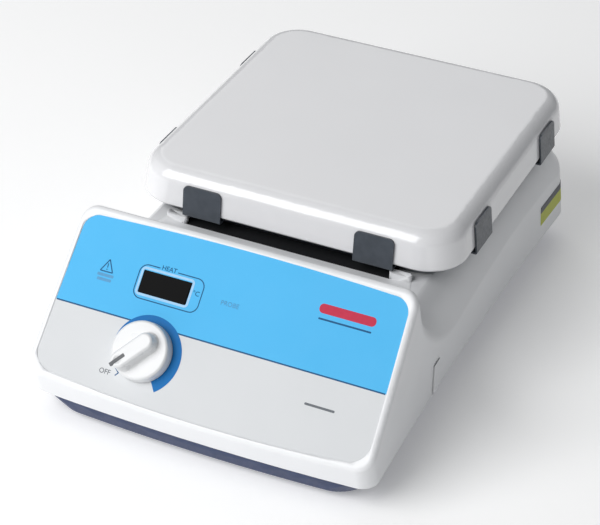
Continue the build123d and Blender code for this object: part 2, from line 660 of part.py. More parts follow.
def motor_bracket():
    """Steel plate that hangs the motor from the deck's posts."""
    plate = rounded_slab(98, 70, BRACKET_T, 8, BRACKET_Z)
    plate -= drum(8, BRACKET_Z - 1, BRACKET_Z + 3, 0, PLATE_Y)
    for x, y in BRACKET_XY:
        plate -= drum(1.6, BRACKET_Z - 1, BRACKET_Z + 3, x, y)
    return plate


def bracket_screws():
    """Screws up through the motor bracket into the deck's posts."""
    screw = cross_screw(1.25, 12, 2.8, 1.8)
    return group([Pos(x, y, BRACKET_Z) * screw for x, y in BRACKET_XY])


def motor_shaft():
    """Shaft through the motor, from the fan below to the magnet carrier above."""
    return drum(MOTOR_SHAFT_R, FAN_Z[0] - 0.5, CARRIER_Z[1] + 1.5, 0, PLATE_Y)


def magnet_carrier():
    """Bar on the top of the shaft that holds the two magnets."""
    z0, z1 = CARRIER_Z
    bar = Pos(0, PLATE_Y, z0) * extrude(SlotOverall(*CARRIER_SIZE), amount=z1 - z0)
    bar += drum(7.0, z0 - 3, z0, 0, PLATE_Y)
    bar -= drum(MOTOR_SHAFT_R + 0.02, z0 - 4, z1 + 1, 0, PLATE_Y)
    for x in (-MAGNET_X, MAGNET_X):
        bar -= drum(MAGNET_R + 0.05, z0 + 1.5, z1 + 1, x, PLATE_Y)
    return bar


def drive_magnets():
    """Pair of disc magnets that turn the stir bar."""
    z0, z1 = CARRIER_Z
    return group([drum(MAGNET_R, z0 + 1.5, z1 + 1.5, x, PLATE_Y) for x in (-MAGNET_X, MAGNET_X)])


def cooling_fan():
    """Small fan on the lower end of the shaft, over the tray's vents."""
    z0, z1 = FAN_Z
    fan = ring(7, MOTOR_SHAFT_R + 0.02, z0, z1, 0, PLATE_Y)
    blade = Pos(14.5, 0, (z0 + z1) / 2) * Rot(28, 0, 0) * Box(17, 7.4, 1.0)
    for i in range(7):
        fan += Pos(0, PLATE_Y, 0) * Rot(0, 0, i * 360 / 7) * blade
    return fan


# ---------------------------------------------------------------- trim
def side_label():
    """Rating label on the right-hand wall near the rear."""
    skin = wall_block(-0.25) - wall_block(0)
    return skin & (Pos(94, PLATE_Y + 67.25, HEIGHT - 64.25) * Box(14, 35.5, 11.5))


PIECES = [
    housing, base_tray, feet, base_screws,
    top_plate, plate_pan, insulation_pad, heater_element, plate_sensor,
    plate_washers, plate_screws, plate_nuts,
    panel_overlay, display_window, display_module, control_board, board_pillars, controller_chip,
    potentiometer, potentiometer_nut, potentiometer_shaft, control_knob, knob_pointer,
    power_inlet, inlet_pins, probe_jack, probe_jack_nut,
    power_board, power_board_pillars, triac, heat_sink, capacitors, mains_fuse,
    transformer_core, transformer_coil, transformer_feet,
    motor_can, motor_bearings, motor_bracket, bracket_screws, motor_shaft, magnet_carrier,
    drive_magnets, cooling_fan, side_label,
]


def main():
    """Build every piece and write it as its own STEP file."""
    os.makedirs("parts", exist_ok=True)
    for make in PIECES:
        shape = make()
        export_step(shape, f"parts/{make.__name__}.step")
        print(f"{make.__name__}: {len(shape.solids())} solid(s), {shape.volume:.0f} mm3")


if __name__ == "__main__":
    main()
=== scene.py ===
"""Looks of a heated bench-top magnetic stirrer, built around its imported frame.

Lengths in the classes are millimetres, and one helper turns them into the frame's metres. +Z is up and
the sloped control panel faces -Y.
"""

import json
import logging
import math
from dataclasses import dataclass
from enum import Enum
from typing import Optional

import bmesh
import bpy
from mathutils import Matrix, Vector


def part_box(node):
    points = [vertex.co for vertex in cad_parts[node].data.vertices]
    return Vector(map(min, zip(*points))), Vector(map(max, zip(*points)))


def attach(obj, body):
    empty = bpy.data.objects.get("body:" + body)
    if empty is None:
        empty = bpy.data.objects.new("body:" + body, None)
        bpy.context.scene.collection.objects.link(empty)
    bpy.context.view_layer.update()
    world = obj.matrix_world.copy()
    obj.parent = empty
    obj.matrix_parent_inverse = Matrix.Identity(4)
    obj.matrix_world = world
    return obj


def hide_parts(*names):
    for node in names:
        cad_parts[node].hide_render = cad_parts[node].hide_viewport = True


LOG = logging.getLogger("stirrer")
MM = 0.001
MERGE_WITHIN = 2e-6
SPECK = 1e-6
NOISE_LOW = 0.3
NOISE_HIGH = 0.7
CAPITAL_SHARE = 0.69
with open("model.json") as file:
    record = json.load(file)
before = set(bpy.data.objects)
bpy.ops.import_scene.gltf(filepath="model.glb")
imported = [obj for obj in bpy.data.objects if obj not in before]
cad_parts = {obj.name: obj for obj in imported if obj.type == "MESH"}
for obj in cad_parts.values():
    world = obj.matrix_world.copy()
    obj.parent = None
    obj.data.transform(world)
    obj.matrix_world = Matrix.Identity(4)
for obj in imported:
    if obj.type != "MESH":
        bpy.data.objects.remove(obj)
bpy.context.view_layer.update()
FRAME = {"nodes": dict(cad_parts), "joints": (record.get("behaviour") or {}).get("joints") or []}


# ---------------------------------------------------------------- helpers
def rgb(code: str) -> tuple[float, float, float, float]:
    """Turns an sRGB hex colour into Blender's linear RGBA.

    Args:
        code: Colour such as "#F0F1F2".

    Returns:
        Linear red, green, blue and an alpha of 1.
    """
    def linear(pair: str) -> float:
        part = int(pair, 16) / 255
        return part / 12.92 if part <= 0.04045 else ((part + 0.055) / 1.055) ** 2.4

    return linear(code[1:3]), linear(code[3:5]), linear(code[5:7]), 1.0


def add(tree: bpy.types.NodeTree, kind: str, inputs: Optional[dict] = None, **settings) -> bpy.types.Node:
    """Adds one shader node with its settings, values and links.

    Args:
        tree: Node tree that gets the node.
        kind: Node type, such as "ShaderNodeTexNoise".
        inputs: Values or output sockets by input name or number.
        **settings: Properties set on the node.

    Returns:
        The new node.
    """
    node = tree.nodes.new(kind)
    for name, value in settings.items():
        setattr(node, name, value)
    for name, value in (inputs or {}).items():
        if isinstance(value, bpy.types.NodeSocket):
            tree.links.new(value, node.inputs[name])
        else:
            node.inputs[name].default_value = value
    return node


def new_piece(name: str, work: bmesh.types.BMesh, material: bpy.types.Material) -> bpy.types.Object:
    """Turns a finished bmesh into a piece that rides on the root body.

    Args:
        name: Piece name.
        work: Mesh in the row frame, in metres; it is freed.
        material: Finish of the piece.

    Returns:
        The piece's object.
    """
    bmesh.ops.recalc_face_normals(work, faces=work.faces)
    mesh = bpy.data.meshes.new(name)
    work.to_mesh(mesh)
    work.free()
    mesh.materials.append(material)
    piece = bpy.data.objects.new(name, mesh)
    bpy.context.scene.collection.objects.link(piece)
    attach(piece, "root")
    LOG.info("made %s with %d faces", name, len(mesh.polygons))
    return piece


def smooth_copy(name: str, node: str, material: bpy.types.Material, body: str = "root",
                sharp: float = 28.0) -> bpy.types.Object:
    """Stands a merged, smoothly shaded copy in for a CAD node whose shape is right.

    Args:
        name: Piece name.
        node: CAD node to copy and replace.
        material: Finish of the piece.
        body: Body the piece rides on.
        sharp: Angle in degrees above which an edge stays crisp.

    Returns:
        The piece's object.
    """
    work = bmesh.new()
    work.from_mesh(FRAME["nodes"][node].data)
    bmesh.ops.remove_doubles(work, verts=work.verts, dist=MERGE_WITHIN)
    bmesh.ops.dissolve_degenerate(work, dist=SPECK, edges=work.edges)
    mesh = bpy.data.meshes.new(name)
    work.to_mesh(mesh)
    work.free()
    mesh.shade_smooth()
    mesh.set_sharp_from_angle(angle=math.radians(sharp))
    mesh.materials.clear()
    mesh.materials.append(material)
    piece = bpy.data.objects.new(name, mesh)
    bpy.context.scene.collection.objects.link(piece)
    weighted = piece.modifiers.new("even_shading", "WEIGHTED_NORMAL")
    weighted.keep_sharp = True
    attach(piece, body)
    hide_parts(node)
    LOG.info("copied %s from %s with %d faces", name, node, len(mesh.polygons))
    return piece


# ---------------------------------------------------------------- finishes
@dataclass(frozen=True)
class Finish:
    """A surface: what it is made of, and what the making leaves on it.

    Attributes:
        name: Material name, the real material and how its surface was made.
        colour: sRGB hex of the clean surface.
        roughness: Shader roughness.
        metallic: 1 for bare metal.
        ior: Index of refraction; metals keep the shader's own.
        coat: Weight of a clear glossy layer.
        coat_roughness: Roughness of that layer.
        grain_mm: Size of the fine relief.
        grain_depth_mm: Height of the fine relief.
        mottle: How far the colour drifts, as a share of its value.
        mottle_mm: Size of that drift.
        scuff: How far roughness drifts.
        specular: Shader specular level.
        glow: Light the surface gives off by itself; only a backdrop has any.
    """

    name: str
    colour: str
    roughness: float
    metallic: float = 0.0
    ior: float = 1.5
    coat: float = 0.0
    coat_roughness: float = 0.06
    grain_mm: float = 0.9
    grain_depth_mm: float = 0.01
    mottle: float = 0.02
    mottle_mm: float = 30.0
    scuff: float = 0.04
    specular: float = 0.5
    glow: float = 0.0

    def noise(self, tree: bpy.types.NodeTree, size_mm: float, detail: float = 2.0) -> bpy.types.NodeSocket:
        """Adds noise whose features are about size_mm across, and returns its factor."""
        where = add(tree, "ShaderNodeTexCoord").outputs["Object"]
        made = add(tree, "ShaderNodeTexNoise", {"Vector": where, "Detail": detail,
                                                "Scale": 1 / (size_mm * MM)})
        return made.outputs["Fac"]

    def tint(self, tree: bpy.types.NodeTree) -> bpy.types.NodeSocket:
        """Adds the surface's own colour before it drifts, and returns it."""
        return add(tree, "ShaderNodeMix", {6: rgb(self.colour), 7: rgb(self.colour)},
                   data_type="RGBA").outputs[2]

    def relief(self, tree: bpy.types.NodeTree) -> bpy.types.NodeSocket:
        """Adds the height pattern that the bump reads, and returns it."""
        return self.noise(tree, self.grain_mm, 3.0)

    def material(self) -> bpy.types.Material:
        """Builds the finish once, and returns the same material after that."""
        found = bpy.data.materials.get(self.name)
        if found:
            return found
        made = bpy.data.materials.new(self.name)
        made.use_nodes = True
        tree = made.node_tree
        shader = tree.nodes["Principled BSDF"]
        shader.inputs["Metallic"].default_value = self.metallic
        if not self.metallic:
            shader.inputs["IOR"].default_value = self.ior
        shader.inputs["Coat Weight"].default_value = self.coat
        shader.inputs["Coat Roughness"].default_value = self.coat_roughness
        shader.inputs["Specular IOR Level"].default_value = self.specular
        shader.inputs["Emission Color"].default_value = rgb("#FFFFFF")
        shader.inputs["Emission Strength"].default_value = self.glow
        drift = add(tree, "ShaderNodeMapRange", {"Value": self.noise(tree, self.mottle_mm),
                                                 "From Min": NOISE_LOW, "From Max": NOISE_HIGH,
                                                 "To Min": 1 - self.mottle, "To Max": 1.0})
        shade = add(tree, "ShaderNodeVectorMath", {0: self.tint(tree), 1: drift.outputs["Result"]},
                    operation="MULTIPLY")
        tree.links.new(shade.outputs["Vector"], shader.inputs["Base Color"])
        rub = add(tree, "ShaderNodeMapRange", {"Value": self.noise(tree, self.mottle_mm / 3),
                                               "From Min": NOISE_LOW, "From Max": NOISE_HIGH,
                                               "To Min": max(self.roughness - self.scuff, 0.02),
                                               "To Max": self.roughness + self.scuff})
        tree.links.new(rub.outputs["Result"], shader.inputs["Roughness"])
        bump = add(tree, "ShaderNodeBump", {"Height": self.relief(tree), "Strength": 1.0,
                                            "Distance": self.grain_depth_mm * MM})
        tree.links.new(bump.outputs["Normal"], shader.inputs["Normal"])
        return made


@dataclass(frozen=True)
class BrushedFinish(Finish):
    """Metal drawn or brushed along one axis, with its grain stretched that way."""

    stretch: tuple[float, float, float] = (0.04, 1.0, 1.0)

    def relief(self, tree: bpy.types.NodeTree) -> bpy.types.NodeSocket:
        """Adds noise stretched along the brushing, and returns it."""
        where = add(tree, "ShaderNodeTexCoord").outputs["Object"]
        turned = add(tree, "ShaderNodeMapping", {"Vector": where, "Scale": self.stretch})
        made = add(tree, "ShaderNodeTexNoise", {"Vector": turned.outputs["Vector"], "Detail": 3.0,
                                                "Scale": 1 / (self.grain_mm * MM)})
        return made.outputs["Fac"]


@dataclass(frozen=True)
class SplitFilm(Finish):
    """Printed film in two colours that meet on a straight line across the panel."""

    lower: str = "#DCDDE0"
    origin: tuple[float, float, float] = (0.0, 0.0, 0.0)
    tilt: float = 0.0

    def tint(self, tree: bpy.types.NodeTree) -> bpy.types.NodeSocket:
        """Adds the two colours, split where the height up the slope is zero."""
        where = add(tree, "ShaderNodeTexCoord").outputs["Object"]
        turned = add(tree, "ShaderNodeMapping", {"Vector": where, "Location": self.origin,
                                                 "Rotation": (self.tilt, 0.0, 0.0)}, vector_type="TEXTURE")
        parts = add(tree, "ShaderNodeSeparateXYZ", {"Vector": turned.outputs["Vector"]})
        above = add(tree, "ShaderNodeMath", {0: parts.outputs["Y"], 1: 0.0}, operation="GREATER_THAN")
        return add(tree, "ShaderNodeMix", {0: above.outputs[0], 6: rgb(self.lower), 7: rgb(self.colour)},
                   data_type="RGBA").outputs[2]


@dataclass(frozen=True)
class BandedLabel(Finish):
    """Printed foil label: a plain field under a dark band, both without lettering."""

    band: str = "#2D323C"
    band_z: float = 0.0

    def tint(self, tree: bpy.types.NodeTree) -> bpy.types.NodeSocket:
        """Adds the field's colour below the band's lower edge, and the band's above it."""
        where = add(tree, "ShaderNodeTexCoord").outputs["Object"]
        parts = add(tree, "ShaderNodeSeparateXYZ", {"Vector": where})
        above = add(tree, "ShaderNodeMath", {0: parts.outputs["Z"], 1: self.band_z}, operation="GREATER_THAN")
        return add(tree, "ShaderNodeMix", {0: above.outputs[0], 6: rgb(self.colour), 7: rgb(self.band)},
                   data_type="RGBA").outputs[2]


class Surface(Enum):
    """The finishes that more than one piece shares."""

    # ABS from a polished tool: a cool white with a low sheen and a faint orange peel
    HOUSING = Finish("ABS_moulded_white", "#E9EAEC", 0.34, grain_mm=1.2, grain_depth_mm=0.012)
    # ABS from a spark-eroded tool: navy, with a fine even texture that breaks up the highlights
    TRAY = Finish("ABS_spark_textured_navy", "#374262", 0.5, grain_mm=0.8, grain_depth_mm=0.05,
                  mottle=0.12, mottle_mm=6.0)
    # glazed glass-ceramic: milky white under a clear, slightly wavy gloss
    CERAMIC = Finish("glass_ceramic_glazed_white", "#E8E8EA", 0.18, ior=1.54, coat=0.5, grain_mm=14.0,
                     grain_depth_mm=0.012, mottle=0.015, mottle_mm=60.0)
    # enamelled steel sheet: dark slate, mottled where the enamel pooled
    ENAMEL = Finish("steel_enamelled_slate", "#4A5058", 0.36, ior=1.5, grain_mm=1.6, grain_depth_mm=0.02,
                    mottle=0.22, mottle_mm=5.0, scuff=0.08)
    # painted shade: a matt black finish that stands in for the shadow falling under the plate's front, so
    # that it stays a dark band
    PAINTED_SHADE_BLACK = Finish("painted_shade_matt_black", "#15171B", 0.7, grain_mm=1.5, grain_depth_mm=0.02, mottle=0.2,
                  mottle_mm=6.0)
    # moulded rubber: a dead black that takes almost no highlight
    RUBBER = Finish("rubber_moulded_black", "#1B1C1D", 0.75, grain_mm=0.7, grain_depth_mm=0.03, mottle=0.15)
    # zinc-plated steel: bright grey with a soft drawn grain
    ZINC = BrushedFinish("steel_zinc_plated", "#B4B6B6", 0.32, metallic=1.0, grain_mm=0.6,
                         grain_depth_mm=0.008, mottle=0.12, mottle_mm=8.0)
    # knob ABS: whiter than the housing and a little glossier
    KNOB = Finish("ABS_moulded_bright_white", "#DEDFE0", 0.3, grain_mm=1.5, grain_depth_mm=0.006)
    # paint filled into a groove: mid grey, a little uneven
    POINTER = Finish("enamel_paint_filled_grey", "#4B4E52", 0.45, grain_mm=0.6, grain_depth_mm=0.02,
                     mottle=0.2, mottle_mm=2.0)
    # screen inks: dense, matt and a touch raised
    INK_NAVY = Finish("screen_ink_navy", "#195582", 0.5, mottle=0.08, mottle_mm=3.0, specular=0.15)
    INK_BLUE = Finish("screen_ink_deep_blue", "#0A6CB0", 0.5, mottle=0.05, mottle_mm=4.0, specular=0.15)
    INK_GREY = Finish("screen_ink_grey", "#6F7479", 0.55, mottle=0.1, mottle_mm=2.0, specular=0.15)
    INK_HAZE = Finish("screen_ink_blue_grey", "#5C9CC9", 0.55, mottle=0.08, mottle_mm=3.0, specular=0.15)
    INK_PALE = Finish("screen_ink_pale_blue", "#A3CDEE", 0.5, mottle=0.05, mottle_mm=3.0, specular=0.15)
    INK_RED = Finish("screen_ink_red", "#C2304C", 0.5, mottle=0.06, mottle_mm=3.0, specular=0.15)
    # smoked acrylic: near black with a clear glossy face
    FILTER = Finish("acrylic_smoked_polished", "#050506", 0.12, ior=1.49, grain_mm=10.0,
                    grain_depth_mm=0.005, mottle=0.2, specular=0.03)
    # glass-filled nylon: black with a fine matt skin
    NYLON_BLACK = Finish("nylon_moulded_black", "#17181A", 0.48, grain_mm=0.8, grain_depth_mm=0.03,
                         mottle=0.15)
    # unfilled nylon: a waxy off-white
    NYLON = Finish("nylon_moulded_natural", "#DAD6C8", 0.5, grain_mm=0.9, mottle=0.05)
    # nickel plate over brass: warm bright grey
    NICKEL = BrushedFinish("brass_nickel_plated", "#C9C3B4", 0.22, metallic=1.0, grain_mm=0.5,
                           grain_depth_mm=0.004, mottle=0.08, mottle_mm=5.0)
    # solder mask over glass fibre: dark green with a faint weave under a lacquer shine
    BOARD = Finish("fibreglass_solder_masked", "#14462B", 0.35, coat=0.3, grain_mm=1.0, mottle=0.15,
                   mottle_mm=4.0)
    # extruded aluminium: soft grey, drawn along its fins
    ALUMINIUM = BrushedFinish("aluminium_extruded", "#A9ABAD", 0.35, metallic=1.0, grain_mm=0.7,
                              stretch=(1.0, 1.0, 0.05), mottle=0.08)
    # stacked steel sheets: dark, with fine lines between the layers
    LAMINATION = BrushedFinish("silicon_steel_laminated", "#5A5B5E", 0.45, metallic=1.0, grain_mm=0.5,
                               grain_depth_mm=0.05, stretch=(0.03, 1.0, 0.03), mottle=0.25, mottle_mm=3.0)
    # wound polyester tape: amber and slightly glossy, with soft overlaps
    TAPE = Finish("polyester_tape_wrapped", "#C08A22", 0.3, coat=0.3, grain_mm=2.5, grain_depth_mm=0.05,
                  mottle=0.15, mottle_mm=6.0)
    # pressed ceramic fibre: chalky and matt, with a felted relief
    FIBRE = Finish("ceramic_fibre_pressed", "#DAD6CC", 0.9, grain_mm=1.2, grain_depth_mm=0.2, mottle=0.1,
                   mottle_mm=4.0)
    # heated alloy: brown grey, stained unevenly by oxide
    HEATER = Finish("nickel_chrome_oxidised", "#6B5B50", 0.5, metallic=1.0, grain_mm=0.8, mottle=0.3,
                    mottle_mm=6.0)
    # drawn glass: a pale grey with a sharp highlight
    GLASS_TUBE = Finish("glass_drawn_clear", "#B9C4C4", 0.08, ior=1.52, grain_mm=4.0, grain_depth_mm=0.005)

    @property
    def material(self) -> bpy.types.Material:
        """The finish's Blender material."""
        return self.value.material()


# ---------------------------------------------------------------- control panel
@dataclass(frozen=True)
class Word:
    """A printed generic word, its middle, the height of its capitals and how fat its strokes are."""

    name: str
    text: str
    at: tuple[float, float]
    height: float
    ink: Surface
    weight: float


@dataclass(frozen=True)
class Patch:
    """A printed patch with rounded corners: left, right, low and high edge, radius and ink."""

    name: str
    edges: tuple[float, float, float, float]
    radius: float
    ink: Surface


@dataclass
class ControlPanel:
    """Printed film, display and marks on the sloped face.

    Places are (across, up the slope) in millimetres from the middle of the line where the film's two
    colours meet.
    """

    knob_at: tuple[float, float] = (-35.7, -13.6)
    film_lift: float = -0.35
    ink: float = 0.05
    ink_sunk: float = 0.4
    corner_steps: int = 7
    divider_half: float = 90.6
    divider_width: float = 0.75
    window: tuple[float, float, float, float] = (-49.5, -22.2, 14.6, 26.8)
    rim_gap: float = 1.3
    rim_width: float = 1.25
    rim_radius: float = 2.2
    frame_line: tuple[float, float, float, float] = (-52.0, -15.3, 11.5, 29.5)
    frame_radius: float = 4.6
    frame_width: float = 0.55
    frame_gap: tuple[float, float] = (-41.4, -31.4)
    gap_slack: float = 0.1
    ramp_inner: float = 15.5
    ramp_start: float = 205.0
    ramp_sweep: float = 261.0
    ramp_seed: float = 1.0
    ramp_thin: float = 0.6
    ramp_growth: float = 5.2
    ramp_curve: float = 0.65
    ramp_wrap: float = 1.2
    ramp_steps: int = 72
    caution_corners: tuple[tuple[float, float], ...] = ((-72.6, 20.1), (-65.6, 20.1), (-69.1, 26.5))
    caution_line: float = 0.6
    caution_stroke: tuple[tuple[float, float], ...] = ((-69.3, 24.4), (-69.2, 22.2))
    caution_stroke_width: float = 0.5
    caution_middle: float = -69.0
    caution_bars: tuple[tuple[float, float], ...] = ((4.6, 18.2), (4.0, 15.9))
    caution_bar_half: float = 0.75
    caution_bar_radius: float = 0.5
    off_pointer: tuple[tuple[float, float], ...] = ((-50.6, -22.6), (-45.2, -27.0), (-46.6, -28.8))
    off_pointer_width: float = 0.6
    caution_dot: Patch = Patch("mark_caution_dot", (-69.5, -68.9, 21.0, 21.6), 0.2, Surface.INK_NAVY)
    words: tuple[Word, ...] = (
        Word("mark_heat_word", "HEAT", (-36.4, 29.7), 2.3, Surface.INK_NAVY, 0.03),
        Word("mark_degree_c", "\N{DEGREE SIGN}C", (-18.7, 21.6), 2.4, Surface.INK_NAVY, 0.02),
        Word("mark_probe_word", "PROBE", (0.3, 20.9), 2.3, Surface.INK_HAZE, 0.02),
        Word("mark_off_word", "OFF", (-52.6, -28.3), 2.5, Surface.INK_GREY, 0.02))
    patches: tuple[Patch, ...] = (
        Patch("mark_badge", (45.5, 75.5, 29.4, 34.2), 2.2, Surface.INK_RED),
        Patch("mark_badge_line", (46.5, 74.5, 26.1, 27.0), 0.4, Surface.INK_NAVY),
        Patch("mark_lower_line", (53.0, 69.0, -15.7, -14.5), 0.5, Surface.INK_GREY))

    def __post_init__(self) -> None:
        """Takes the panel's plane from the knob's hinge."""
        hinge = next(j for j in FRAME["joints"] if j["name"] == "knob_turn")
        out = -Vector(hinge["axis"]).normalized()
        across = Vector((1, 0, 0))
        up = out.cross(across)
        turn = Matrix((across, up, out)).transposed()
        origin = Vector(hinge["pos_m"]) - turn @ Vector((*self.knob_at, 0)) * MM
        self.place = Matrix.Translation(origin) @ turn.to_4x4()
        self.origin = origin
        self.tilt = math.atan2(up.z, up.y)

    def on_panel(self, work: bmesh.types.BMesh, lift: float) -> None:
        """Moves a mesh made flat in millimetres onto the panel at a lift from its plane."""
        into = self.place @ Matrix.Diagonal((MM, MM, MM, 1)) @ Matrix.Translation((0, 0, lift))
        bmesh.ops.transform(work, matrix=into, verts=work.verts)

    def print_mark(self, name: str, work: bmesh.types.BMesh, ink: Surface,
                   layer: int = 1) -> bpy.types.Object:
        """Thickens a flat outline into a layer of ink on the film.

        Args:
            name: Piece name.
            work: Flat mesh in panel millimetres.
            ink: Finish of the ink.
            layer: 1 for ink on the film, 2 for ink on that ink.

        Returns:
            The mark's object.
        """
        top = bmesh.ops.extrude_face_region(work, geom=work.faces[:])
        raised = [g for g in top["geom"] if isinstance(g, bmesh.types.BMVert)]
        bmesh.ops.translate(work, vec=(0, 0, self.ink), verts=raised)
        step = self.ink * (1 - self.ink_sunk)
        self.on_panel(work, self.film_lift + (layer - 1) * step - self.ink * self.ink_sunk)
        return new_piece(name, work, ink.material)

    def rounded(self, left: float, right: float, low: float, high: float,
                radius: float) -> bmesh.types.BMesh:
        """Makes one flat face with rounded corners."""
        work = bmesh.new()
        bmesh.ops.create_grid(work, x_segments=1, y_segments=1, size=0.5)
        bmesh.ops.scale(work, vec=(right - left, high - low, 1), verts=work.verts)
        bmesh.ops.translate(work, vec=((left + right) / 2, (low + high) / 2, 0), verts=work.verts)
        bmesh.ops.bevel(work, geom=work.verts[:], offset=radius, offset_type="OFFSET",
                        segments=self.corner_steps, profile=0.5, affect="VERTICES", material=-1)
        return work

    def outline(self, left: float, right: float, low: float, high: float, radius: float,
                width: float) -> bmesh.types.BMesh:
        """Makes a rounded frame of a given line width."""
        work = self.rounded(left, right, low, high, radius)
        rim = bmesh.ops.inset_region(work, faces=work.faces[:], thickness=width, depth=0, use_boundary=True,
                                     use_even_offset=True)
        inner = [f for f in work.faces if f not in rim["faces"]]
        bmesh.ops.delete(work, geom=inner, context="FACES")
        return work

    def bar(self, start: tuple[float, float], end: tuple[float, float], width: float) -> bmesh.types.BMesh:
        """Makes a flat bar between two points."""
        run = Vector(end) - Vector(start)
        work = bmesh.new()
        bmesh.ops.create_grid(work, x_segments=1, y_segments=1, size=0.5)
        bmesh.ops.scale(work, vec=(run.length, width, 1), verts=work.verts)
        turn = Matrix.Rotation(math.atan2(run.y, run.x), 4, "Z")
        middle = Matrix.Translation(((start[0] + end[0]) / 2, (start[1] + end[1]) / 2, 0))
        bmesh.ops.transform(work, matrix=middle @ turn, verts=work.verts)
        return work

    def patch(self, mark: Patch) -> bpy.types.Object:
        """Prints one rounded patch."""
        return self.print_mark(mark.name, self.rounded(*mark.edges, mark.radius), mark.ink)

    def word(self, word: Word) -> bpy.types.Object:
        """Prints one word, centred on its middle."""
        curve = bpy.data.curves.new(word.name + "_curve", "FONT")
        curve.body = word.text
        curve.size = word.height / CAPITAL_SHARE
        curve.offset = word.weight
        curve.align_x = "CENTER"
        curve.align_y = "CENTER"
        curve.resolution_u = 3
        holder = bpy.data.objects.new(word.name + "_curve", curve)
        bpy.context.scene.collection.objects.link(holder)
        bpy.context.view_layer.update()
        settled = holder.evaluated_get(bpy.context.evaluated_depsgraph_get())
        flat = bpy.data.meshes.new_from_object(settled)
        work = bmesh.new()
        work.from_mesh(flat)
        bpy.data.objects.remove(holder)
        bpy.data.curves.remove(curve)
        bpy.data.meshes.remove(flat)
        bmesh.ops.translate(work, vec=(*word.at, 0), verts=work.verts)
        return self.print_mark(word.name, work, word.ink)

    def ramp(self) -> bpy.types.Object:
        """Prints the band that grows clockwise round the knob from OFF to full heat."""
        work = bmesh.new()
        inner = work.verts.new((self.ramp_inner, 0, 0))
        outer = work.verts.new((self.ramp_inner + self.ramp_seed, 0, 0))
        edge = work.edges.new((inner, outer))
        turn = Matrix.Rotation(math.radians(self.ramp_start), 4, "Z")
        bmesh.ops.transform(work, matrix=turn, verts=work.verts)
        bmesh.ops.spin(work, geom=[edge, inner, outer], cent=(0, 0, 0), axis=(0, 0, 1), dvec=(0, 0, 0),
                       angle=-math.radians(self.ramp_sweep), steps=self.ramp_steps)
        for vert in work.verts:
            if vert.co.length > self.ramp_inner + self.ramp_seed / 2:
                angle = math.degrees(math.atan2(vert.co.y, vert.co.x))
                share = ((self.ramp_start - angle) % 360) / self.ramp_sweep
                # rounding can put the first point almost a whole turn on
                share = 0.0 if share > self.ramp_wrap else min(share, 1.0)
                width = self.ramp_thin + self.ramp_growth * share ** self.ramp_curve
                vert.co = vert.co.normalized() * (self.ramp_inner + width)
        bmesh.ops.translate(work, vec=(*self.knob_at, 0), verts=work.verts)
        return self.print_mark("mark_heat_ramp", work, Surface.INK_BLUE, 2)

    def caution(self) -> None:
        """Prints a plain hot-surface triangle over two short bars."""
        corners = self.caution_corners
        for side, (start, end) in enumerate(zip(corners, corners[1:] + corners[:1])):
            line = self.bar(start, end, self.caution_line)
            self.print_mark(f"mark_caution_side_{side}", line, Surface.INK_NAVY)
        stroke = self.bar(*self.caution_stroke, self.caution_stroke_width)
        self.print_mark("mark_caution_stroke", stroke, Surface.INK_NAVY)
        self.patch(self.caution_dot)
        for row, (half, height) in enumerate(self.caution_bars):
            bar = self.rounded(self.caution_middle - half, self.caution_middle + half,
                               height - self.caution_bar_half, height + self.caution_bar_half,
                               self.caution_bar_radius)
            self.print_mark(f"mark_caution_bar_{row}", bar, Surface.INK_HAZE)

    def build(self) -> None:
        """Dresses the film and the display, and prints every mark."""
        # printed polyester: matt, so the colours stay even under the lights
        film = SplitFilm("polyester_film_printed_two_colours", "#51B6EB", 0.5, specular=0.15, grain_mm=0.8,
                         grain_depth_mm=0.015, mottle=0.015, mottle_mm=50.0, lower="#D4D6D8",
                         origin=tuple(self.origin), tilt=self.tilt)
        smooth_copy("panel_film", "panel_overlay", film.material())
        smooth_copy("display_face", "display_window", Surface.FILTER.material)
        divider = self.bar((-self.divider_half, 0), (self.divider_half, 0), self.divider_width)
        self.print_mark("mark_divider", divider, Surface.INK_NAVY)
        left, right, low, high = self.window
        rim = self.outline(left - self.rim_gap, right + self.rim_gap, low - self.rim_gap,
                           high + self.rim_gap, self.rim_radius, self.rim_width)
        self.print_mark("mark_window_rim", rim, Surface.INK_PALE)
        self.display_outline()
        for word in self.words:
            self.word(word)
        self.caution()
        self.ramp()
        for index, (start, end) in enumerate(zip(self.off_pointer, self.off_pointer[1:])):
            line = self.bar(start, end, self.off_pointer_width)
            self.print_mark(f"mark_off_pointer_{index}", line, Surface.INK_NAVY)
        for mark in self.patches:
            self.patch(mark)

    def display_outline(self) -> None:
        """Prints the thin frame round the display, with a gap for its word."""
        work = self.outline(*self.frame_line, self.frame_radius, self.frame_width)
        middle = (self.frame_line[2] + self.frame_line[3]) / 2
        left, right = self.frame_gap
        for cut in self.frame_gap:
            bmesh.ops.bisect_plane(work, geom=work.verts[:] + work.edges[:] + work.faces[:],
                                   plane_co=(cut, 0, 0), plane_no=(1, 0, 0))
        gap = [f for f in work.faces
               if left + self.gap_slack < f.calc_center_median().x < right - self.gap_slack
               and f.calc_center_median().y > middle]
        bmesh.ops.delete(work, geom=gap, context="FACES")
        self.print_mark("mark_display_frame", work, Surface.INK_NAVY)


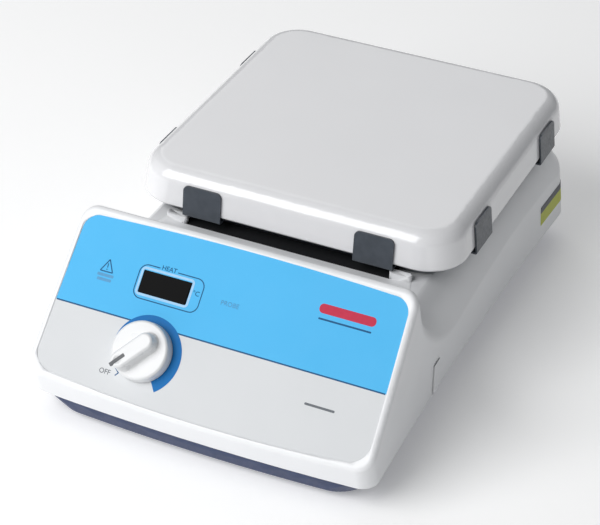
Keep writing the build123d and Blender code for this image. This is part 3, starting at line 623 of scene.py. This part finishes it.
# ---------------------------------------------------------------- housing, plate, knob
@dataclass
class Housing:
    """White moulded housing, its navy tray, feet and rear fittings."""

    label_band_share: float = 0.68

    def build(self) -> None:
        """Dresses the outside pieces of the housing."""
        smooth_copy("housing_shell", "housing", Surface.HOUSING.material)
        smooth_copy("tray_shell", "base_tray", Surface.TRAY.material)
        smooth_copy("feet_pads", "feet", Surface.RUBBER.material)
        smooth_copy("inlet_body", "power_inlet", Surface.NYLON_BLACK.material)
        smooth_copy("probe_socket", "probe_jack", Surface.NYLON_BLACK.material)
        low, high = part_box("side_label")
        band = low.z + (high.z - low.z) * self.label_band_share
        # printed foil: a flat yellow with a little shine
        label = BandedLabel("foil_label_printed", "#B4BB12", 0.4, mottle=0.06, mottle_mm=5.0, band_z=band)
        smooth_copy("rating_label", "side_label", label.material())


@dataclass
class HeatedPlate:
    """Glazed ceramic top, the enamelled pan that clips round it, and a black sheet of painted shade under its
    front.
    """

    shade_sheet_width: float = 119.0
    shade_sheet_depth: float = 18.6
    shade_sheet_thickness: float = 0.6
    shade_sheet_back: float = 84.0
    shade_sheet_corner: float = 2.0
    shade_sheet_corner_steps: int = 4
    step_below_pan: float = 3.1

    def painted_shade_sheet(self) -> None:
        """Makes a black sheet of painted shade that lies in the step of the deck, where shadow falls under
        the front of the plate.
        """
        low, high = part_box("plate_pan")
        centre = (low.y + high.y) / 2
        floor = low.z - self.step_below_pan * MM
        work = bmesh.new()
        bmesh.ops.create_cube(work, size=1.0)
        size = Vector((self.shade_sheet_width, self.shade_sheet_depth, self.shade_sheet_thickness)) * MM
        bmesh.ops.scale(work, vec=size, verts=work.verts)
        upright = [e for e in work.edges if abs(e.verts[0].co.z - e.verts[1].co.z) > SPECK]
        bmesh.ops.bevel(work, geom=upright, offset=self.shade_sheet_corner * MM, offset_type="OFFSET",
                        segments=self.shade_sheet_corner_steps, profile=0.5, affect="EDGES", material=-1)
        place = (0, centre - self.shade_sheet_back * MM, floor + self.shade_sheet_thickness * MM / 2)
        bmesh.ops.translate(work, vec=place, verts=work.verts)
        # painted shade: a black sheet put where the plate's front casts its shadow on the deck
        new_piece("painted_shade_sheet", work, Surface.PAINTED_SHADE_BLACK.material)

    def build(self) -> None:
        """Dresses the plate and its pan."""
        smooth_copy("ceramic_top", "top_plate", Surface.CERAMIC.material)
        smooth_copy("pan_and_clips", "plate_pan", Surface.ENAMEL.material)
        self.painted_shade_sheet()


@dataclass
class Knob:
    """Pointer knob that turns on the panel."""

    sharp: float = 40.0

    def build(self) -> None:
        """Dresses the knob and its pointer line."""
        smooth_copy("knob_body", "control_knob", Surface.KNOB.material, "knob",
                    self.sharp)
        smooth_copy("knob_line", "knob_pointer", Surface.POINTER.material, "knob")


@dataclass
class Internals:
    """CAD nodes whose shape stays, each with the finish of its real material."""

    def build(self) -> None:
        """Puts a finish on every node that is still shown."""
        table: dict[Surface, tuple[str, ...]] = {
            Surface.ZINC: ("base_screws", "plate_screws", "plate_nuts", "bracket_screws", "motor_can",
                           "motor_bearings", "motor_bracket", "motor_shaft", "transformer_feet"),
            Surface.NICKEL: ("inlet_pins", "potentiometer", "potentiometer_nut", "potentiometer_shaft",
                             "probe_jack_nut", "drive_magnets"),
            Surface.FIBRE: ("insulation_pad", "plate_washers"),
            Surface.HEATER: ("heater_element", "plate_sensor"),
            Surface.BOARD: ("control_board", "power_board"),
            Surface.NYLON: ("board_pillars", "power_board_pillars"),
            Surface.NYLON_BLACK: ("display_module", "controller_chip", "triac", "capacitors",
                                  "magnet_carrier", "cooling_fan"),
            Surface.ALUMINIUM: ("heat_sink",),
            Surface.LAMINATION: ("transformer_core",),
            Surface.TAPE: ("transformer_coil",),
            Surface.GLASS_TUBE: ("mains_fuse",),
        }
        for surface, names in table.items():
            for name in names:
                materials = FRAME["nodes"][name].data.materials
                materials.clear()
                materials.append(surface.material)
                LOG.info("dressed %s", name)


# ---------------------------------------------------------------- studio
@dataclass(frozen=True)
class Softbox:
    """A square soft light that looks at the object.

    Attributes:
        name: Light's name.
        azimuth: Side it stands on, in degrees from the front towards the right.
        elevation: Height in degrees.
        distance: Metres from the object.
        size: Side of the square in metres.
        power: Watts.
    """

    name: str
    azimuth: float
    elevation: float
    distance: float
    size: float
    power: float


@dataclass
class Studio:
    """Pale floor, soft lights and the camera.

    The camera looks down on the front right corner. Its place and lens are in millimetres, its
    directions in degrees.
    """

    camera_at: tuple[float, float, float] = (380.6, -850.7, 664.7)
    azimuth: float = 24.625
    elevation: float = 34.093
    roll: float = 0.829
    lens: float = 124.77
    sensor: float = 36.0
    near: float = 0.05
    far: float = 50.0
    floor_half: float = 3000.0
    air_colour: str = "#F4F7FA"
    air_strength: float = 0.2
    lights: tuple[Softbox, ...] = (Softbox("key_softbox", -30, 38, 1.8, 1.4, 30),
                                   Softbox("rear_softbox", -155, 42, 1.9, 1.4, 6))

    def camera(self) -> None:
        """Makes the camera and gives it to the scene."""
        around, above, turn = (math.radians(v) for v in (self.azimuth, self.elevation, self.roll))
        back = Vector((math.sin(around) * math.cos(above), -math.cos(around) * math.cos(above),
                       math.sin(above)))
        right = Vector((math.cos(around), math.sin(around), 0))
        up = back.cross(right)
        across = right * math.cos(turn) + up * math.sin(turn)
        upward = up * math.cos(turn) - right * math.sin(turn)
        lens = bpy.data.cameras.new("studio_camera")
        lens.lens = self.lens
        lens.sensor_width = self.sensor
        lens.clip_start = self.near
        lens.clip_end = self.far
        holder = bpy.data.objects.new("studio_camera", lens)
        bpy.context.scene.collection.objects.link(holder)
        turned = Matrix((across, upward, back)).transposed().to_4x4()
        holder.matrix_world = Matrix.Translation(Vector(self.camera_at) * MM) @ turned
        bpy.context.scene.camera = holder

    def softbox(self, box: Softbox) -> None:
        """Hangs one soft light."""
        light = bpy.data.lights.new(box.name, "AREA")
        light.shape = "SQUARE"
        light.size = box.size
        light.energy = box.power
        holder = bpy.data.objects.new(box.name, light)
        bpy.context.scene.collection.objects.link(holder)
        around, above = math.radians(box.azimuth), math.radians(box.elevation)
        aim = Vector((math.sin(around) * math.cos(above), -math.cos(around) * math.cos(above),
                      math.sin(above)))
        holder.rotation_euler = aim.to_track_quat("Z", "Y").to_euler()
        holder.location = aim * box.distance

    def floor(self) -> None:
        """Adds the pale floor."""
        work = bmesh.new()
        bmesh.ops.create_grid(work, x_segments=1, y_segments=1, size=self.floor_half * MM)
        mesh = bpy.data.meshes.new("studio_floor")
        work.to_mesh(mesh)
        work.free()
        # matt paper that gives off a little light, so it stays near white behind the object
        paper = Finish("paper_backdrop_matt", "#F7F7F7", 0.9, grain_mm=2.0, grain_depth_mm=0.02, mottle=0.01,
                       mottle_mm=200.0, glow=0.22)
        mesh.materials.append(paper.material())
        holder = bpy.data.objects.new("studio_floor", mesh)
        bpy.context.scene.collection.objects.link(holder)

    def build(self) -> None:
        """Sets the stage."""
        self.camera()
        self.floor()
        world = bpy.data.worlds.new("studio_air")
        bpy.context.scene.world = world
        world.use_nodes = True
        air = world.node_tree.nodes["Background"]
        air.inputs["Color"].default_value = rgb(self.air_colour)
        air.inputs["Strength"].default_value = self.air_strength
        for box in self.lights:
            self.softbox(box)
        bpy.context.scene.view_settings.view_transform = "Standard"


def main() -> None:
    """Builds every part of the picture in order."""
    logging.basicConfig(level=logging.INFO, format="%(name)s: %(message)s")
    Studio().build()
    Housing().build()
    HeatedPlate().build()
    ControlPanel().build()
    Knob().build()
    Internals().build()


if __name__ == "__main__":
    main()
